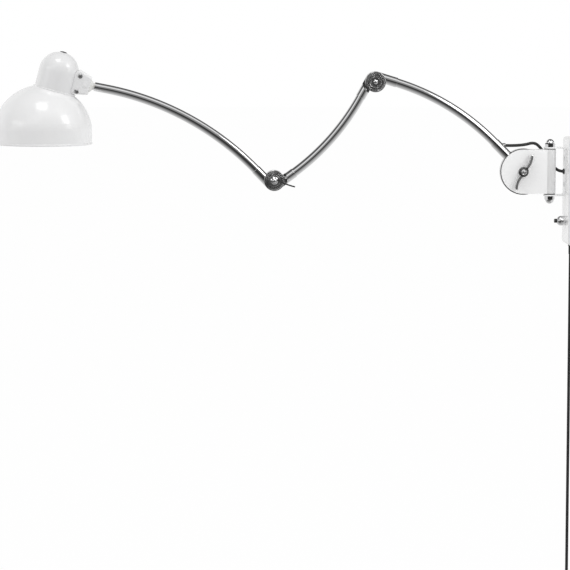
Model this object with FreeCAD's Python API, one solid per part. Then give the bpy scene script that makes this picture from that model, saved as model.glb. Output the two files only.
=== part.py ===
import FreeCAD, Part
import math
import os

# Articulating wall lamp: a wall box, a swivelling knuckle, three curved tube arms,
# a ball joint and a domed shade.  Millimetres.  +Z is up, +X points into the wall,
# -Y is the side that the lamp is seen from.  The origin is the middle of the wall
# box's back face, on the wall.  The arms lie in the plane Y = 0.

V = FreeCAD.Vector
UP = V(0, 0, 1)
WALLWARD = V(1, 0, 0)
AWAY = V(-1, 0, 0)
FAR = V(0, 1, 0)
NEAR = V(0, -1, 0)

# ---- driving dimensions -------------------------------------------------------

running_fit = 0.05          # radial clearance of a shaft that turns in its hole
seat_fit = 0.02             # radial clearance of a piece that stays in its hole
face_gap = 0.1              # between flat faces that slide on each other

# wall box
box_width = 100.0
box_height = 232.0
box_depth = 38.0
box_wall = 1.6
box_round = 7.0
plate_thickness = 2.0
plate_margin = 0.4
plate_tab = 12.0
wall_screw_spacing = 190.0
wall_screw_hole_r = 2.6
channel_width = 56.0
channel_height = 72.0
housing_screw_r = 2.0
housing_screw_head_r = 3.6
housing_screw_head_h = 2.0
housing_screw_length = 8.0

# strap and pivot pin
strap_thickness = 3.0
strap_bend_r = 9.0
strap_end_margin = 0.5      # the ears' round ends stand this far past the barrel
pin_reach = 34.6            # from the box's front to the pivot pin
pin_r = 6.0
pin_past_ear = 11.0
strap_screw_r = 2.5
strap_screw_head_r = 4.8
strap_screw_rows = 56.0
strap_screw_columns = 14.0
acorn_across_flats = 19.0
acorn_hex_h = 9.0
acorn_dome_r = 9.3
acorn_height = 17.2

# knuckle
knuckle_height = 42.0       # of the knuckle's centre above the box's centre
knuckle_reach = 58.9        # from the pivot pin to the tilt axis
barrel_r = 13.0
barrel_length = 96.0
bush_flange = 2.0
bush_flange_r = 12.0
bush_r = 8.0
bush_length = 18.0
cheek_r = 48.0
cheek_thickness = 3.0
cheek_short = 7.0           # the near cheek ends this far before the pivot pin
fork_gap = 20.0
fork_bolt_r = 4.0
bolt_head_r = 9.0
bolt_head_h = 4.5

# drum at the inner arm's foot
drum_rim_proud = 2.1        # the rim shows this far past the cheeks
drum_barrel_gap = 1.0
drum_stop_angle = 73.0      # the wide rim ends this far from the barrel's side
drum_rim_width = 4.5
drum_web = 4.0
drum_hub_r = 15.0
friction_washer = 0.8
spout_r = 5.0
spout_height = 56.4         # above the tilt axis
spout_back = 38.5           # from the tilt axis to its mouth, away from the wall

# arms
tube_r = 9.6
tube_wall = 1.5
socket_wall = 1.0
inner_arm = 375.7           # pivot to pivot
middle_arm = 304.8
outer_arm = 455.7
inner_angle = 148.9         # degrees in the XZ plane, from +X towards +Z, as shown
middle_angle = 224.29
outer_angle = 153.08
inner_bend_r = 512.0
middle_bend_r = 509.0
outer_bend_r = 611.0
drum_socket_length = 38.0

# elbows
elbow_r = 22.5
elbow_half = 11.0           # thickness of each half
elbow_reach = 45.0          # from the pivot to the socket's mouth
elbow_washer = 0.8
elbow_clear = 0.8           # between a socket and the other half's rim
far_elbow_neck = 5.0        # the middle arm's sockets start this much further out
dish_depth = 1.4
dish_outer_r = 20.2
dish_inner_r = 9.0
dish_ring_r = 14.6
dish_ring_width = 1.2
elbow_bolt_r = 4.0
elbow_cap_r = 4.8
elbow_cap_h = 3.0
lever_length = 46.5
lever_hub_r = 8.0
lever_hub_h = 8.0
lever_thickness = 3.0
lever_blade_h = 7.0
lever_b_angle = -16.0
lever_a_lift = 15.0

# wing nut on the knuckle
wing_hub_r = 11.0
wing_hub_top_r = 8.0
wing_hub_h = 12.0
wing_span_half = 42.0
wing_thickness = 5.0
wing_height = 13.0
wing_angle = 65.0
wing_cap_r = 6.0
wing_cap_h = 3.0

# flex
flex_r = 3.25
flex_bore_r = 3.6

# ball joint
ball_r = 17.8
ball_neck_r = 7.5
ball_flat_gap = 2.5         # between the ball and the tube's end
liner_wall = 0.7
liner_fit = 0.08
stem_r = 6.0
stem_length = 26.0
stem_collar_r = 7.1
stem_collar_h = 3.0

# socket that clamps the ball, in distances from the neck's axis and the dome's centre
ball_from_neck = 61.6
ball_from_dome = 128.2
clamp_width = 50.0
clamp_split = 1.0
clamp_round = 4.0
clamp_end_r = 21.0          # the clamp's round end, about the ball
clamp_mouth = 10.1          # from the ball's centre to the flat that opens the seat
clamp_bump_r = 6.5
clamp_bump_h = 1.2
clamp_screw_r = 2.0
clamp_screw_head_r = 5.2
clamp_screw_head_h = 2.4
fixing_screw_r = 2.0
fixing_screw_heights = (118.0, 134.0)
fixing_screw_y = 17.0
fixing_screw_head_r = 3.6
fixing_screw_head_h = 2.4

# head
neck_tilt = 14.3            # degrees, top towards the wall
shade_lift = 2.4            # of the shade's round above the dome's centre
dome_r = 106.9
skirt_r = 105.4
skirt_blend_r = 60.0        # the arc that joins the round to the straight skirt
skirt_below = 20.8          # from the shade's round down to the rim
shade_wall = 1.0
bead_r = 2.5
bead_proud = 0.9
collar_height = 102.2       # of the collar's top face above the dome's centre
collar_thickness = 3.6
collar_r = 46.3
collar_bore_r = 30.0
neck_r = 42.9
neck_wall = 1.2
neck_centre = 141.5         # of the round top, above the dome's centre
neck_floor = 2.4
neck_screw_r = 2.0
neck_screw_circle_r = 35.5
button_r = 7.6
button_proud = 1.5
button_stem_r = 3.0
button_stem_h = 6.0

# lampholder and bulb
holder_r = 19.5
holder_shoulder_r = 23.5
holder_shoulder_h = 3.0
holder_above = 24.0
holder_below = 30.0
holder_socket_r = 13.6
holder_socket_depth = 26.0
holder_ring_r = 26.0
holder_ring_h = 5.0
bulb_cap_r = 13.2
bulb_cap_length = 24.0
bulb_r = 30.0
bulb_length = 76.0
bulb_neck_r = 13.0
bulb_wall = 1.0
head_flex_r = 2.1           # the thinner lead inside the head
head_flex_bend = 11.6

# switch, grommet, gland, terminals
switch_drop = 65.5          # below the box's centre
switch_thread_r = 7.0
switch_body_r = 10.5
switch_body_length = 20.0
collar_dome_r = 10.5
collar_dome_length = 17.5
button_bore_r = 4.5
push_r = 4.4
push_proud = 6.4
push_length = 16.0
grommet_flange_r = 6.0
grommet_flange = 3.5
grommet_neck_r = 4.6
grommet_lip_r = 5.6
gland_back = 12.4           # from the box's front to the cord
gland_flange_r = 5.2
gland_flange = 5.0
gland_taper = 22.0
gland_tip_r = 4.1
gland_neck_r = 4.8
gland_lip_r = 5.3
gland_end = 1.0             # the gland's tip, that the free cord's end meets
terminal_width = 42.0
terminal_height = 18.0
terminal_depth = 15.0
terminal_drop = 34.0
terminal_screw_r = 2.2
terminal_screw_h = 5.0

# mains cord, put-away coil, tie and plug
cord_top = box_height / 2 + gland_taper
coil_drop = 916.0           # from the box's centre down to the coil's centre
coil_outer_r = 45.6
coil_pitch = 7.1
coil_layer = 7.3
coil_in_quarters = 12       # quarter turns, in and out again; the layer changes at the middle
plug_run = 50.0
tie_width = 8.0
tie_wall = 1.2
tie_gap = 0.6
plug_length = 36.0
plug_width = 35.0
plug_thickness = 14.0
plug_taper = 20.0
plug_top_r = 4.6
plug_pin_r = 2.0
plug_pin_length = 19.0
plug_pin_spacing = 18.6

# lead past the knuckle, as (X, Y, Z) from the tilt axis
lead_upper_route = [(-21.0, 1.0, 56.0), (4.5, 3.8, 57.5), (24.5, 9.4, 62.6),
                    (39.0, 16.5, 53.0)]
lead_lower_route = [(58.5, 21.0, 25.0), (70.0, 13.5, 8.0), (80.0, 0.0, 0.0)]
clip_length = 9.0
clip_wall = 1.6
clip_foot = 12.0
clip_rivet_r = 2.6
clip_rivet_h = 1.6

# ---- places worked out from them ----------------------------------------------

front_x = -box_depth
pin_x = front_x - pin_reach
knuckle = V(pin_x - knuckle_reach, 0, knuckle_height)


def in_plane(angle):
    """A unit direction in the XZ plane."""
    a = math.radians(angle)
    return V(math.cos(a), 0, math.sin(a))


def turned(v):
    """The same direction, a quarter turn on, from +X towards +Z."""
    return V(-v.z, 0, v.x)


elbow_a = knuckle + in_plane(inner_angle) * inner_arm
elbow_b = elbow_a + in_plane(middle_angle) * middle_arm
ball_centre = elbow_b + in_plane(outer_angle) * outer_arm

neck_up = V(math.sin(math.radians(neck_tilt)), 0, math.cos(math.radians(neck_tilt)))
neck_out = V(neck_up.z, 0, -neck_up.x)
dome_centre = ball_centre - neck_up * ball_from_dome - neck_out * ball_from_neck

socket_r = tube_r + socket_wall
tangent_offset = elbow_r - socket_r     # the sockets lie along the elbow's rim
drum_socket_start = cheek_r + drum_rim_proud
ear_inner = barrel_length / 2 + bush_flange + face_gap
ear_outer = ear_inner + strap_thickness
cheek_inner = fork_gap / 2
cheek_outer = cheek_inner + cheek_thickness
drum_half = cheek_inner - friction_washer - face_gap
split_y = elbow_washer / 2
cord_x = front_x + gland_back
gland_bore_z = -box_height / 2 - gland_taper + gland_end


# ---- helpers ------------------------------------------------------------------

def rod(radius, start, along, length):
    return Part.makeCylinder(radius, length, start, along)


def pipe(outer, inner, start, along, length):
    past = V(along).normalize()
    hole = rod(inner, start - past, along, length + 2)
    return rod(outer, start, along, length).cut(hole)


def block(x0, x1, y0, y1, z0, z1):
    return Part.makeBox(x1 - x0, y1 - y0, z1 - z0, V(x0, y0, z0))


def slab(points, y0, y1):
    """A flat outline in the XZ plane, from y0 to y1."""
    corners = [V(p.x, y0, p.z) for p in points]
    return Part.Face(Part.makePolygon(corners + corners[:1])).extrude(V(0, y1 - y0, 0))


def spun(profile, centre, axis, across):
    """A solid of revolution from (radius, height) points, some joined by arcs.

    A point is a pair, or a triple ("via", radius, height) that an arc runs through."""
    axis = V(axis).normalize()
    across = V(across).normalize()

    def place(r, h):
        return centre + across * r + axis * h

    edges = []
    start = profile[0]
    via = None
    for point in profile[1:] + profile[:1]:
        if point[0] == "via":
            via = place(*point[1:])
            continue
        a = place(*start)
        b = place(*point)
        if via is not None:
            edges.append(Part.Arc(a, via, b).toShape())
        elif (b - a).Length > 1e-6:
            edges.append(Part.LineSegment(a, b).toShape())
        start = point
        via = None
    solid = Part.Face(Part.Wire(edges)).revolve(centre, axis, 360)
    if solid.Volume < 0:
        solid.reverse()
    return solid


def over_axis(radius, low, high):
    """A point half-way along the arc from (radius, low) to (0, high) centred on the axis."""
    rise = high - low
    arc_r = (radius ** 2 + rise ** 2) / (2 * rise)
    r = radius / 2
    return "via", r, high - arc_r + math.sqrt(arc_r ** 2 - r ** 2)


def hexagon(across_flats, base, along, side, height):
    """A hexagonal prism on base, one flat facing side."""
    r = across_flats / math.sqrt(3)
    side = V(side).normalize()
    other = along.cross(side)
    corners = []
    for k in range(7):
        a = math.radians(30 + 60 * k)
        corners.append(base + side * (r * math.cos(a)) + other * (r * math.sin(a)))
    return Part.Face(Part.makePolygon(corners)).extrude(V(along).normalize() * height)


def dome_cap(radius, height, base, along, across):
    """A low round cap: a flat disc under an arc."""
    rise = height * 0.35
    return spun([(0, 0), (radius, 0), (radius, rise), over_axis(radius, rise, height),
                 (0, height)], base, along, across)


def joined(first, *others):
    result = first
    for other in others:
        result = result.fuse(other)
    return result.removeSplitter()


def without(shape, *tools):
    result = shape
    for tool in tools:
        result = result.cut(tool)
    return result


def rounded_edges(shape, radius, wanted):
    """Round the edges that wanted(edge) picks."""
    return shape.makeFillet(radius, [e for e in shape.Edges if wanted(e)])


def smooth_route(points):
    """Straight runs joined by tangent arcs, and the arcs' radii."""
    edges = []
    radii = []
    last = points[0]
    for before, here, after in zip(points, points[1:], points[2:]):
        into = here - before
        out = after - here
        shorter = min(into.Length, out.Length)
        into.normalize()
        out.normalize()
        turn = into.getAngle(out)
        radius = 0.45 * shorter / math.tan(turn / 2)
        arm = 0.45 * shorter
        start = here - into * arm
        end = here + out * arm
        middle_way = out - into
        middle_way.normalize()
        centre_gap = radius / math.cos(turn / 2)
        middle = here + middle_way * (centre_gap - radius)
        edges.append(Part.LineSegment(last, start).toShape())
        edges.append(Part.Arc(start, middle, end).toShape())
        radii.append(radius)
        last = end
    edges.append(Part.LineSegment(last, points[-1]).toShape())
    return Part.Wire(edges), radii


def swept(path, radius, start, along):
    ring = Part.Wire(Part.Circle(start, along, radius).toShape())
    return path.makePipeShell([ring], True, False)


def cord_tube(name, points, radius):
    path, radii = smooth_route(points)
    tube = swept(path, radius, points[0], points[1] - points[0])
    share = tube.Volume / (math.pi * radius ** 2 * path.Length)
    told = ", ".join("%.1f" % r for r in radii)
    print("%s: length %.1f, radii %s, volume / (section x length) %.4f"
          % (name, path.Length, told, share))
    return tube


def save(name, *solids):
    for solid in solids:
        if not solid.isValid() or len(solid.Solids) != 1:
            print("CHECK", name, "valid", solid.isValid(), "solids", len(solid.Solids))
    shape = solids[0] if len(solids) == 1 else Part.makeCompound(list(solids))
    shape.exportStep("parts/%s.step" % name)


# ---- an arm's centre line ------------------------------------------------------

class Arm:
    """A curved tube between two pivots: an arc with a straight run at each end.

    offset_* is how far a pivot lies outside the bend (negative: inside it), reach_* how
    far it is along the straight run, and turn is +1 where the arm turns from +X towards
    +Z about the bend's centre on its way from the first pivot to the second, else -1."""

    def __init__(self, first, second, bend_r, turn, offset_1, reach_1, offset_2, reach_2):
        self.bend_r = bend_r
        self.turn = turn
        chord = second - first
        length = chord.Length
        away_1 = math.hypot(bend_r + offset_1, reach_1)
        away_2 = math.hypot(bend_r + offset_2, reach_2)
        cosine = (away_1 ** 2 + length ** 2 - away_2 ** 2) / (2 * away_1 * length)
        heading = math.atan2(chord.z, chord.x) + turn * math.acos(cosine)
        self.centre = first + V(math.cos(heading), 0, math.sin(heading)) * away_1
        lead_1 = turn * math.atan2(reach_1, bend_r + offset_1)
        lead_2 = turn * math.atan2(reach_2, bend_r + offset_2)
        self.angle_1 = self.polar(first) + lead_1
        angle_2 = self.polar(second) - lead_2
        self.sweep = ((angle_2 - self.angle_1) * turn) % (2 * math.pi)
        self.start = self.on_arc(0)
        self.end = self.on_arc(self.sweep)
        self.start_way = self.way(0) * -1
        self.end_way = self.way(self.sweep)

    def polar(self, point):
        return math.atan2(point.z - self.centre.z, point.x - self.centre.x)

    def on_arc(self, angle):
        a = self.angle_1 + self.turn * angle
        return self.centre + V(math.cos(a), 0, math.sin(a)) * self.bend_r

    def way(self, angle):
        a = self.angle_1 + self.turn * angle
        return V(-math.sin(a), 0, math.cos(a)) * self.turn

    def swept_rod(self, radius, past_1, past_2):
        """A round rod along the arc, and straight on past each of its ends."""
        ring = Part.Face(Part.Wire(Part.Circle(self.start, self.start_way, radius).toShape()))
        bent = ring.revolve(self.centre, NEAR * self.turn, math.degrees(self.sweep))
        return joined(bent, rod(radius, self.start, self.start_way, past_1),
                      rod(radius, self.end, self.end_way, past_2))

    def tube(self, past_1, past_2):
        inside = self.swept_rod(tube_r - tube_wall, past_1 + 1, past_2 + 1)
        return self.swept_rod(tube_r, past_1, past_2).cut(inside)


def tube_stop(clear_r):
    """How far from the pivot's foot a tube ends, so that the other half turns past it."""
    return math.sqrt(clear_r ** 2 - (tangent_offset - tube_r) ** 2) + elbow_clear / 2


drum_reach = drum_socket_start + drum_socket_length
ball_reach = ball_r + ball_flat_gap + stem_length
near_clear_r = elbow_r + elbow_clear
far_clear_r = near_clear_r + far_elbow_neck
near_stop = tube_stop(near_clear_r)
far_stop = tube_stop(far_clear_r)
inner = Arm(knuckle, elbow_a, inner_bend_r, 1, 0, drum_reach, -tangent_offset, elbow_reach)
middle = Arm(elbow_a, elbow_b, middle_bend_r, -1, tangent_offset, elbow_reach,
             -tangent_offset, elbow_reach)
outer = Arm(elbow_b, ball_centre, outer_bend_r, 1, tangent_offset, elbow_reach, 0, ball_reach)


# ---- wall box --------------------------------------------------------------------

def wall_housing():
    half_w = box_width / 2
    half_h = box_height / 2
    outside = block(front_x, 0, -half_w, half_w, -half_h, half_h)
    outside = rounded_edges(outside, box_round, lambda e: e.BoundBox.XMin < -1e-6)
    w = box_wall
    inside = block(front_x + w, 10, -half_w + w, half_w - w, -half_h + w, half_h - w)
    inside = rounded_edges(inside, box_round - w, lambda e: e.BoundBox.XMin < 9)
    shell = outside.cut(inside)
    past = V(front_x - 1, 0, 0)
    holes = [rod(switch_thread_r + seat_fit, past - UP * switch_drop, WALLWARD, 10),
             rod(grommet_neck_r + seat_fit, past + UP * knuckle_height, WALLWARD, 10),
             rod(gland_neck_r + seat_fit, V(cord_x, 0, -half_h - 1), UP, 10)]
    holes += [rod(strap_screw_r + running_fit, p - WALLWARD, WALLWARD, 10)
              for p in strap_screw_places()]
    holes += [rod(housing_screw_r + running_fit, p, along, 10)
              for p, along in housing_screw_places()]
    return without(shell, *holes)


def housing_screw_places():
    x = -(plate_thickness + plate_tab) / 2
    return [(V(x, 0, box_height / 2 + 1), V(0, 0, -1)), (V(x, 0, -box_height / 2 - 1), UP)]


def housing_screws():
    screws = []
    for past, along in housing_screw_places():
        face = past + along
        head = dome_cap(housing_screw_head_r, housing_screw_head_h, face, along * -1, FAR)
        screws.append(joined(head, rod(housing_screw_r, face, along, housing_screw_length)))
    return screws


def strap_screw_places():
    x = front_x - strap_thickness
    return [V(x, y, knuckle_height + z)
            for y in (-strap_screw_columns / 2, strap_screw_columns / 2)
            for z in (-strap_screw_rows / 2, strap_screw_rows / 2)]


def wall_plate():
    """The plate on the wall, its folded tabs, and the channel that carries the strap."""
    half_w = box_width / 2 - box_wall - plate_margin
    half_h = box_height / 2 - box_wall - plate_margin
    t = plate_thickness
    plate = block(-t, 0, -half_w, half_w, -half_h, half_h)
    plate = rounded_edges(plate, box_round - box_wall, lambda e: e.BoundBox.XLength > 1)
    tab_w = channel_width / 2
    for low in (-half_h, half_h - t):
        plate = plate.fuse(block(-t - plate_tab, -t, -tab_w, tab_w, low, low + t))
    x0 = front_x + box_wall
    half_channel = channel_height / 2
    z0 = knuckle_height - half_channel
    z1 = knuckle_height + half_channel
    channel = block(x0, -t, -tab_w, tab_w, z0, z1)
    channel = channel.cut(block(x0 + t, -t, -tab_w + t, tab_w - t, z0 - 1, z1 + 1))
    body = joined(plate, channel)
    for z in (-wall_screw_spacing / 2, wall_screw_spacing / 2):
        body = body.cut(rod(wall_screw_hole_r, V(-t - 1, 0, z), WALLWARD, t + 2))
    for p in strap_screw_places():
        body = body.cut(rod(strap_screw_r + seat_fit, p, WALLWARD, box_depth / 2))
    for p, along in housing_screw_places():
        body = body.cut(rod(housing_screw_r + seat_fit, p, along, 14))
    passage = rod(grommet_lip_r + 0.4, V(front_x, 0, knuckle_height), WALLWARD, box_depth / 2)
    return body.cut(passage)


def hinge_strap():
    """A flat bar bent into a U: a web on the box and an ear at each end of the barrel."""
    z0 = knuckle_height - ear_outer
    z1 = knuckle_height + ear_outer
    half_w = barrel_r + strap_end_margin
    x0 = pin_x - half_w - 5
    outside = block(x0, front_x, -half_w, half_w, z0, z1)
    outside = rounded_edges(outside, strap_bend_r,
                            lambda e: e.BoundBox.XMin > front_x - 1e-6 and e.Length < 2.1 * half_w
                            and e.BoundBox.YLength > 1)
    t = strap_thickness
    inside = block(x0 - 1, front_x - t, -half_w - 1, half_w + 1, z0 + t, z1 - t)
    inside = rounded_edges(inside, strap_bend_r - t,
                           lambda e: e.BoundBox.XMin > front_x - t - 1e-6
                           and e.BoundBox.YLength > 1)
    bar = outside.cut(inside)
    tall = 2 * ear_outer + 2
    low = z0 - 1
    plan = joined(rod(half_w, V(pin_x, 0, low), UP, tall),
                  block(pin_x, front_x, -half_w, half_w, low, low + tall))
    bar = bar.common(plan)
    bar = bar.cut(rod(pin_r + seat_fit, V(pin_x, 0, low), UP, tall))
    bar = bar.cut(rod(grommet_neck_r + seat_fit, V(front_x - t - 1, 0, knuckle_height),
                      WALLWARD, t + 2))
    for p in strap_screw_places():
        bar = bar.cut(rod(strap_screw_r + running_fit, p - WALLWARD, WALLWARD, t + 2))
        bar = bar.cut(countersink(p, running_fit))
    return bar


def countersink(p, spare):
    """The cone of a countersunk head whose flat face is at p."""
    depth = strap_screw_head_r - strap_screw_r
    return Part.makeCone(strap_screw_head_r + spare, strap_screw_r + spare, depth, p, WALLWARD)


def strap_screws():
    length = strap_thickness + box_wall + plate_thickness + 3
    screws = []
    for p in strap_screw_places():
        slot = block(p.x - 1, p.x + 1, p.y - 0.6, p.y + 0.6,
                     p.z - strap_screw_head_r - 1, p.z + strap_screw_head_r + 1)
        screw = joined(countersink(p, 0), rod(strap_screw_r, p, WALLWARD, length))
        screws.append(screw.cut(slot))
    return screws


def pivot_pin():
    length = 2 * (ear_outer + pin_past_ear)
    return rod(pin_r, V(pin_x, 0, knuckle_height - length / 2), UP, length)


def acorn_nuts():
    nuts = []
    for side in (1, -1):
        base = V(pin_x, 0, knuckle_height + side * ear_outer)
        along = UP * side
        hexed = hexagon(acorn_across_flats, base, along, FAR, acorn_hex_h)
        corner = acorn_across_flats / math.sqrt(3)
        flat = acorn_across_flats / 2
        trim = spun([(0, 0), (flat, 0), (corner, 0.6), (corner, acorn_hex_h - 1.6),
                     (flat - 0.5, acorn_hex_h), (0, acorn_hex_h)], base, along, FAR)
        foot = acorn_hex_h - 1.0
        dome = spun([(0, foot), (acorn_dome_r, foot),
                     over_axis(acorn_dome_r, foot, acorn_height), (0, acorn_height)],
                    base, along, FAR)
        bore = rod(pin_r + seat_fit, base - along, along, pin_past_ear + 1.2)
        nuts.append(joined(hexed.common(trim), dome).cut(bore))
    return nuts


def lead_grommet():
    base = V(front_x - strap_thickness, 0, knuckle_height)
    through = strap_thickness + box_wall
    inside = base + WALLWARD * through
    flange = spun([(0, 0), (grommet_flange_r, 0), (grommet_flange_r, grommet_flange * 0.4),
                   ("via", grommet_flange_r * 0.93, grommet_flange * 0.75),
                   (grommet_flange_r * 0.75, grommet_flange), (0, grommet_flange)],
                  base, AWAY, FAR)
    neck = rod(grommet_neck_r, base, WALLWARD, through)
    lip = rod(grommet_lip_r, inside, WALLWARD, 1.5)
    bore = rod(flex_r + seat_fit, base - WALLWARD * 10, WALLWARD, 30)
    return joined(flange, neck, lip).cut(bore)


def cord_gland():
    top = V(cord_x, 0, -box_height / 2)
    down = V(0, 0, -1)
    sleeve = spun([(0, 0), (gland_flange_r, 0), (gland_flange_r, gland_flange - 1),
                   (gland_flange_r - 1, gland_flange), (gland_tip_r, gland_taper),
                   (0, gland_taper)], top, down, FAR)
    neck = rod(gland_neck_r, top, UP, box_wall)
    lip = rod(gland_lip_r, top + UP * box_wall, UP, 2)
    bore = rod(flex_r + seat_fit, V(cord_x, 0, gland_bore_z), UP, box_height)
    return joined(sleeve, neck, lip).cut(bore)


# ---- switch ------------------------------------------------------------------------

def switch_place():
    return V(front_x, 0, -switch_drop)


def switch_body():
    """The threaded neck through the box's front and the case behind it."""
    face = switch_place()
    inside = face + WALLWARD * box_wall
    neck = rod(switch_thread_r, face + AWAY * 6, WALLWARD, 6 + box_wall)
    case = rod(switch_body_r, inside, WALLWARD, switch_body_length)
    bore = rod(button_bore_r, face + AWAY * 10, WALLWARD, 10 + push_length)
    terminals = [rod(1.4, inside + WALLWARD * switch_body_length + FAR * y, WALLWARD, 3)
                 for y in (-5, 5)]
    return joined(neck, case, *terminals).cut(bore)


def switch_collar():
    """The turned dome nut on the switch's neck."""
    base = switch_place()
    tip = button_bore_r + 1.2
    shoulder = collar_dome_length * 0.45
    dome = spun([(0, 0), (collar_dome_r - 0.5, 0), (collar_dome_r, 0.5),
                 (collar_dome_r, shoulder),
                 ("via", collar_dome_r * 0.86, collar_dome_length * 0.82),
                 (tip, collar_dome_length), (0, collar_dome_length)], base, AWAY, FAR)
    thread = rod(switch_thread_r + seat_fit, base + WALLWARD, AWAY, 7.2)
    bore = rod(button_bore_r, base, AWAY, collar_dome_length + 1)
    return without(dome, thread, bore)


def switch_button():
    tip = switch_place() + AWAY * (collar_dome_length + push_proud)
    length = push_length + push_proud + 4
    end = rod(push_r, tip + WALLWARD * 0.8, WALLWARD, length)
    crown = spun([(0, 0), (push_r, 0), ("via", push_r * 0.85, 0.55), (push_r * 0.6, 0.8),
                  (0, 0.8)], tip + WALLWARD * 0.8, AWAY, FAR)
    return joined(end, crown)


# ---- terminals and the flex inside the box -------------------------------------------

def terminal_holes():
    x = -plate_thickness - terminal_depth
    return [V(x, y, -terminal_drop + z) for y in (-13, 0, 13) for z in (-5, 5)]


def terminal_block():
    half_w = terminal_width / 2
    half_h = terminal_height / 2
    body = block(-plate_thickness - terminal_depth, -plate_thickness, -half_w, half_w,
                 -terminal_drop - half_h, -terminal_drop + half_h)
    body = rounded_edges(body, 1.2, lambda e: e.BoundBox.XMax < -plate_thickness - 1)
    for p in terminal_holes():
        body = body.cut(rod(terminal_screw_r + seat_fit, p - WALLWARD, WALLWARD,
                            terminal_screw_h))
    return body


def box_flex():
    """The arm's flex and the mains cord, each from its grommet to the terminals."""
    front = front_x - strap_thickness
    half_h = terminal_height / 2
    terminal_x = -plate_thickness - terminal_depth / 2
    turn_x = front_x + box_wall + plate_thickness + 12
    arm_side = [V(front, 0, knuckle_height), V(turn_x, 0, knuckle_height),
                V(terminal_x, 0, knuckle_height - 24), V(terminal_x, 0, -terminal_drop + half_h)]
    low = -box_height / 2
    beside = switch_body_r + 2 * flex_r
    mains_side = [V(cord_x, 0, gland_bore_z), V(cord_x, 0, low + 18),
                  V(terminal_x, beside, low + 36), V(terminal_x, beside, -terminal_drop - half_h)]
    return [cord_tube("box flex, arm side", arm_side, flex_r),
            cord_tube("box flex, mains side", mains_side, flex_r)]


# ---- knuckle -------------------------------------------------------------------------

def knuckle_fork():
    """Two cheeks on a barrel, which shows past the near cheek's end: one casting."""
    half = cheek_outer
    low = V(pin_x, 0, knuckle_height - barrel_length / 2)
    cheeks = joined(rod(cheek_r, knuckle + NEAR * half, FAR, 2 * half),
                    block(knuckle.x, pin_x, -half, half,
                          knuckle_height - cheek_r, knuckle_height + cheek_r))
    gap = block(knuckle.x - cheek_r - 5, pin_x, -cheek_inner, cheek_inner,
                knuckle_height - cheek_r - 5, knuckle_height + cheek_r + 5)
    end = block(pin_x - cheek_short, pin_x, -half, -cheek_inner,
                knuckle_height - cheek_r, knuckle_height + cheek_r)
    cheeks = cheeks.cut(gap).cut(end)
    barrel = rod(barrel_r, low, UP, barrel_length)
    barrel = rounded_edges(barrel, 1.0, lambda e: e.BoundBox.ZLength < 1e-6)
    body = joined(cheeks, barrel)
    for z in (0, barrel_length - bush_length):
        body = body.cut(rod(bush_r + seat_fit, low + UP * z, UP, bush_length))
    body = body.cut(rod(pin_r + 1, low - UP, UP, barrel_length + 2))
    body = body.cut(rod(fork_bolt_r + seat_fit, knuckle + NEAR * (half + 1), FAR, 2 * half + 2))
    return body


def barrel_bushes():
    bushes = []
    for side in (1, -1):
        end = V(pin_x, 0, knuckle_height + side * barrel_length / 2)
        along = UP * side
        flange = spun([(0, 0), (bush_flange_r, 0), (bush_flange_r, bush_flange - 0.4),
                       (bush_flange_r - 0.4, bush_flange), (0, bush_flange)], end, along, FAR)
        sleeve = rod(bush_r, end, along * -1, bush_length)
        bore = rod(pin_r + running_fit, end - along * barrel_length, along, 2 * barrel_length)
        bushes.append(joined(flange, sleeve).cut(bore))
    return bushes


def knuckle_bolt():
    """A cup head on the far cheek, a shank through the drum and a thread in the wing nut."""
    far_face = knuckle + FAR * cheek_outer
    head = dome_cap(bolt_head_r, bolt_head_h, far_face, FAR, UP)
    length = 2 * cheek_outer + wing_hub_h
    return joined(head, rod(fork_bolt_r, far_face, NEAR, length))


def blade(points, thickness, height, tip_r):
    """A wing with curved sides, standing height tall over the XZ plane, its tip rounded."""
    left = [p + s * thickness / 2 for p, s in points]
    right = [p - s * thickness / 2 for p, s in points]
    edges = [Part.Arc(*left).toShape(), Part.LineSegment(left[2], right[2]).toShape(),
             Part.Arc(*reversed(right)).toShape(), Part.LineSegment(right[0], left[0]).toShape()]
    wing = Part.Face(Part.Wire(edges)).extrude(NEAR * height)
    tip = (left[2] + right[2]) * 0.5

    def at_tip(e):
        return abs(e.Length - thickness) < 0.3 and (e.CenterOfMass - tip).Length < height + 1

    return rounded_edges(wing, tip_r, at_tip)


def wing_nut():
    """The hub, its chrome cap and two S-curved wings."""
    base = knuckle + NEAR * (cheek_outer + face_gap)
    hub = spun([(0, 0), (wing_hub_r, 0), (wing_hub_r, 3), (wing_hub_top_r + 0.6, 4.6),
                (wing_hub_top_r, wing_hub_h), (0, wing_hub_h)], base, NEAR, UP)
    cap = dome_cap(wing_cap_r, wing_cap_h, base + NEAR * wing_hub_h, NEAR, UP)
    along = in_plane(wing_angle)
    side = turned(along)
    foot = base + NEAR * 3.5
    wings = []
    for way in (1, -1):
        out = along * way
        over = side * way
        points = [(foot + out * (wing_hub_top_r - 2.5), over),
                  (foot + out * (wing_span_half * 0.58) - over * 3.4, over),
                  (foot + out * wing_span_half + over * 1.2, over)]
        wings.append(blade(points, wing_thickness, wing_height, 3.0))
    bore = rod(fork_bolt_r + running_fit, base - NEAR, NEAR, wing_hub_h + 1.2)
    return joined(hub, cap, *wings).cut(bore)


# ---- lead past the knuckle --------------------------------------------------------------

def lead_clip_centre():
    return knuckle + (V(*lead_upper_route[-1]) + V(*lead_lower_route[0])) * 0.5


def clip_way():
    """The lead's direction through the clip."""
    before = V(*lead_upper_route[-1])
    after = V(*lead_lower_route[0])
    return (after - before).normalize()


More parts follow.
